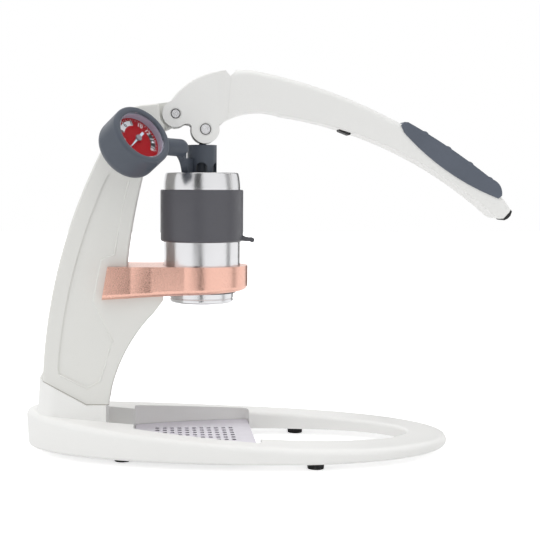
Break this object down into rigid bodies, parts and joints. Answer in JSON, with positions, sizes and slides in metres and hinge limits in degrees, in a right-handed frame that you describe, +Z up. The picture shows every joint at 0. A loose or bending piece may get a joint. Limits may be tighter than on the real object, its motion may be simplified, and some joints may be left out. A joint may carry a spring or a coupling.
{
  "type": "manual lever espresso maker",
  "caption": "Manual lever espresso maker: white cast base and curved post, copper yoke with a steel brew head, plunger with pressure gauge, and a long arched lever with a grey grip.",
  "frame": {"origin": "on the table, under the middle of the whole machine's outline seen from above", "axes": "+X runs from the post towards the lever's handle, +Y to the side away from the gauge, +Z up"},
  "size_m": [0.3582, 0.156, 0.2808],
  "materials": {
    "white_base": "satin white powder coat",
    "white_post": "satin white powder coat",
    "white_lever": "satin white powder coat",
    "black_rubber": "matte",
    "steel_screw": "satin",
    "tray_steel": "satin",
    "copper_finish": "satin copper colour",
    "polished_steel": "polished",
    "basket_steel": "satin",
    "grey_silicone": "satin",
    "grip_rubber": "satin",
    "bronze": "satin",
    "grey_piston": "matte",
    "slate_plastic": "matte",
    "dark_foot": "matte",
    "red_dial": "matte",
    "lilac_ring": "gloss",
    "clear_glass": "clear",
    "pale_pointer": "matte",
    "grey_hub": "matte"
  },
  "bodies": {
    "frame": {"base": "white_base", "feet": "black_rubber", "foot_screws": "steel_screw", "post": "white_post", "post_bolts": "steel_screw", "pivot_bushes": "bronze", "rear_pin": "polished_steel", "yoke": "copper_finish", "yoke_screws": "steel_screw", "portafilter": "polished_steel", "group_gasket": "black_rubber", "filter_basket": "basket_steel", "dispersion_screen": "basket_steel", "seat_gasket": "black_rubber", "brew_cylinder": "polished_steel", "grip_sleeve": "grey_silicone"},
    "lever": {"lever": "white_lever", "handle_grip": "grip_rubber", "under_bumper": "black_rubber", "tip_bumper": "black_rubber", "front_pin": "polished_steel"},
    "press_foot": {"press_foot": "dark_foot", "foot_bush": "bronze"},
    "plunger": {"stem": "slate_plastic", "plunger_rod": "basket_steel", "piston": "grey_piston", "piston_seals": "black_rubber", "gauge_case": "slate_plastic", "gauge_connector": "bronze", "gauge_movement": "bronze", "gauge_dial": "red_dial", "gauge_inner_ring": "lilac_ring", "gauge_glass": "clear_glass"},
    "pointer": {"gauge_pointer": "pale_pointer", "pointer_hub": "grey_hub"},
    "tray": {"drip_tray": "tray_steel"},
    "grate": {"drip_grate": "tray_steel"}
  },
  "joints": [
    {"name": "lever_pivot", "type": "hinge", "parent": "frame", "child": "lever", "pos_m": [-0.06985, 0, 0.2486], "axis": [0, -1, 0], "range_deg": [0, 55]},
    {"name": "foot_pivot", "type": "hinge", "parent": "lever", "child": "press_foot", "pos_m": [-0.04829, 0, 0.23761], "axis": [0, -1, 0], "range_deg": [-55, 0]},
    {"name": "plunger_slide", "type": "slide", "parent": "frame", "child": "plunger", "axis": [0, 0, 1], "range_m": [0, 0.0224]},
    {"name": "pointer_turn", "type": "hinge", "parent": "plunger", "child": "pointer", "pos_m": [-0.09662, -0.05365, 0.22898], "axis": [-0.5624, 0.6469, -0.515], "range_deg": [0, 240], "stiffness_Nm_per_rad": 0.00002, "springref_deg": -17.19},
    {"name": "tray_lift", "type": "slide", "parent": "frame", "child": "tray", "axis": [0, 0, 1], "range_m": [0, 0.035]},
    {"name": "grate_lift", "type": "slide", "parent": "tray", "child": "grate", "axis": [0, 0, 1], "range_m": [0, 0.035]}
  ],
  "couplings": [
    {"joint": "foot_pivot", "follows": "lever_pivot", "ratio": -1},
    {"joint": "plunger_slide", "follows": "lever_pivot", "m_per_rad": 0.023283}
  ]
}
